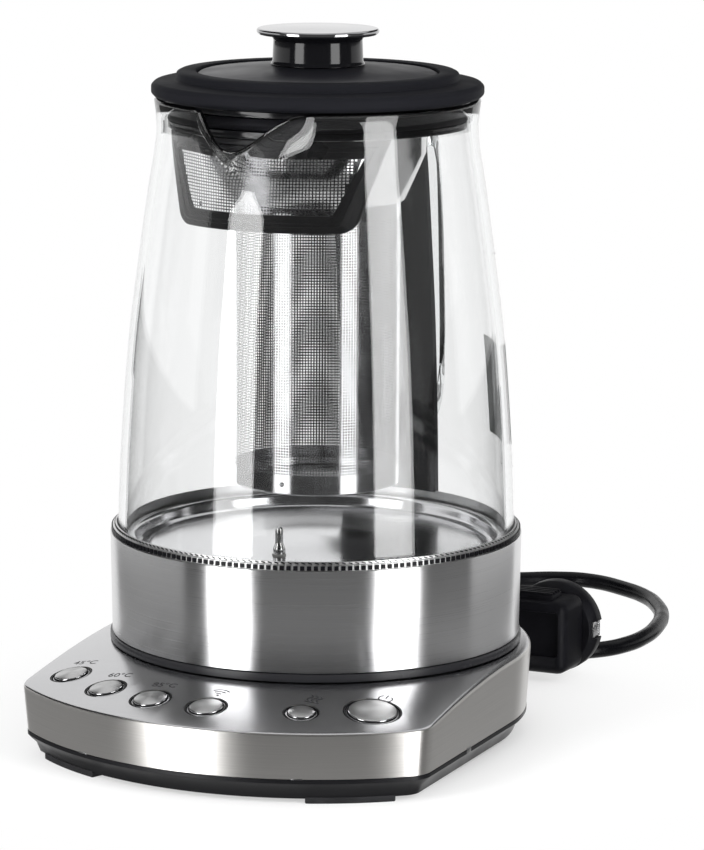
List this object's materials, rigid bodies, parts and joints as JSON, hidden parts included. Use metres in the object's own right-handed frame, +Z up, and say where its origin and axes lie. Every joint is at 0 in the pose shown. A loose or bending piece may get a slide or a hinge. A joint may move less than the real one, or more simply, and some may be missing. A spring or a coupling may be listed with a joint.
{
  "type": "electric tea kettle",
  "caption": "Glass electric kettle with a lift-out tea infuser, standing on a steel control base with push buttons, with its mains lead and plug.",
  "frame": {"origin": "on the table, under the middle of the base and handle taken together", "axes": "+Z up, -Y to the front of the base and the spout, +Y to the handle, +X to the right seen from the front"},
  "size_m": [0.164, 0.3901, 0.267],
  "materials": {
    "brushed_steel": "brushed",
    "polished_steel": "polished",
    "black_plastic": "satin",
    "gloss_black": "gloss",
    "black_rubber": "matt",
    "clear_glass": "clear",
    "pale_silicone": "satin",
    "aluminium": "machined",
    "brass": "polished",
    "circuit_board": "satin"
  },
  "bodies": {
    "base": {"base_cover": "brushed_steel", "button_frame": "black_plastic", "control_board": "circuit_board", "base_connector": "black_plastic", "contact_ring": "brass", "contact_centre": "brass", "foot_front_right": "black_rubber", "foot_front_left": "black_rubber", "foot_rear_right": "black_rubber", "foot_rear_left": "black_rubber", "base_chassis": "black_plastic", "base_screw_1": "brushed_steel", "base_screw_2": "brushed_steel", "base_screw_3": "brushed_steel", "power_board": "circuit_board", "cord_gland": "black_rubber", "plug_body": "black_rubber", "plug_pin_1": "polished_steel", "plug_pin_2": "polished_steel", "earth_clip_right": "brass", "earth_clip_left": "brass", "power_cord": "black_rubber"},
    "socket": {"jug_socket": "black_plastic"},
    "jug": {"glass_jug": "clear_glass", "glass_handle": "clear_glass", "handle_guard": "black_plastic", "steel_band": "brushed_steel", "rim_ring": "gloss_black", "jug_bottom": "black_plastic", "bottom_screw_1": "brushed_steel", "bottom_screw_2": "brushed_steel", "bottom_screw_3": "brushed_steel", "heater_plate": "polished_steel", "jug_seal": "pale_silicone", "sensor_grommet": "pale_silicone", "sensor_pin": "polished_steel", "heat_spreader": "aluminium", "heating_element": "brushed_steel", "heater_control": "black_plastic"},
    "lid": {"ring_lid": "black_plastic", "lid_collar": "gloss_black", "lid_seal": "black_rubber", "strainer_frame": "black_plastic", "strainer_mesh": "polished_steel"},
    "infuser": {"infuser_funnel": "polished_steel", "infuser_tube": "brushed_steel", "infuser_bottom": "brushed_steel"},
    "top_lid": {"inner_lid": "black_plastic", "inner_lid_seal": "black_rubber", "knob_stem": "gloss_black", "knob_cap": "polished_steel", "knob_screw": "brushed_steel"},
    "button_warm_body": {"button_warm": "polished_steel"},
    "button_green_tea_body": {"button_green_tea": "polished_steel"},
    "button_white_tea_body": {"button_white_tea": "polished_steel"},
    "button_black_tea_body": {"button_black_tea": "polished_steel"},
    "button_timer_body": {"button_timer": "polished_steel"},
    "button_power_body": {"button_power": "polished_steel"}
  },
  "joints": [
    {"name": "jug_lift", "type": "slide", "parent": "base", "child": "socket", "axis": [0, 0, 1], "range_m": [0, 0.04]},
    {"name": "jug_turn", "type": "hinge", "parent": "socket", "child": "jug", "pos_m": [0, 0.00263, 0], "axis": [0, 0, 1], "continuous": true},
    {"name": "lid_lift", "type": "slide", "parent": "jug", "child": "lid", "axis": [0, 0, 1], "range_m": [0, 0.16]},
    {"name": "infuser_lift", "type": "slide", "parent": "lid", "child": "infuser", "axis": [0, 0, 1], "range_m": [0, 0.16]},
    {"name": "top_lid_lift", "type": "slide", "parent": "infuser", "child": "top_lid", "axis": [0, 0, 1], "range_m": [0, 0.03]},
    {"name": "press_warm", "type": "slide", "parent": "base", "child": "button_warm_body", "axis": [0.1328, 0.16, -0.9781], "range_m": [0, 0.0012], "stiffness_N_per_m": 800, "springref_m": -0.0008},
    {"name": "press_green_tea", "type": "slide", "parent": "base", "child": "button_green_tea_body", "axis": [0.0892, 0.1878, -0.9781], "range_m": [0, 0.0012], "stiffness_N_per_m": 800, "springref_m": -0.0008},
    {"name": "press_white_tea", "type": "slide", "parent": "base", "child": "button_white_tea_body", "axis": [0.0443, 0.2031, -0.9781], "range_m": [0, 0.0012], "stiffness_N_per_m": 800, "springref_m": -0.0008},
    {"name": "press_black_tea", "type": "slide", "parent": "base", "child": "button_black_tea_body", "axis": [-0.004, 0.2079, -0.9781], "range_m": [0, 0.0012], "stiffness_N_per_m": 800, "springref_m": -0.0008},
    {"name": "press_timer", "type": "slide", "parent": "base", "child": "button_timer_body", "axis": [-0.0748, 0.194, -0.9781], "range_m": [0, 0.0012], "stiffness_N_per_m": 800, "springref_m": -0.0008},
    {"name": "press_power", "type": "slide", "parent": "base", "child": "button_power_body", "axis": [-0.1213, 0.1688, -0.9781], "range_m": [0, 0.0012], "stiffness_N_per_m": 800, "springref_m": -0.0008}
  ]
}
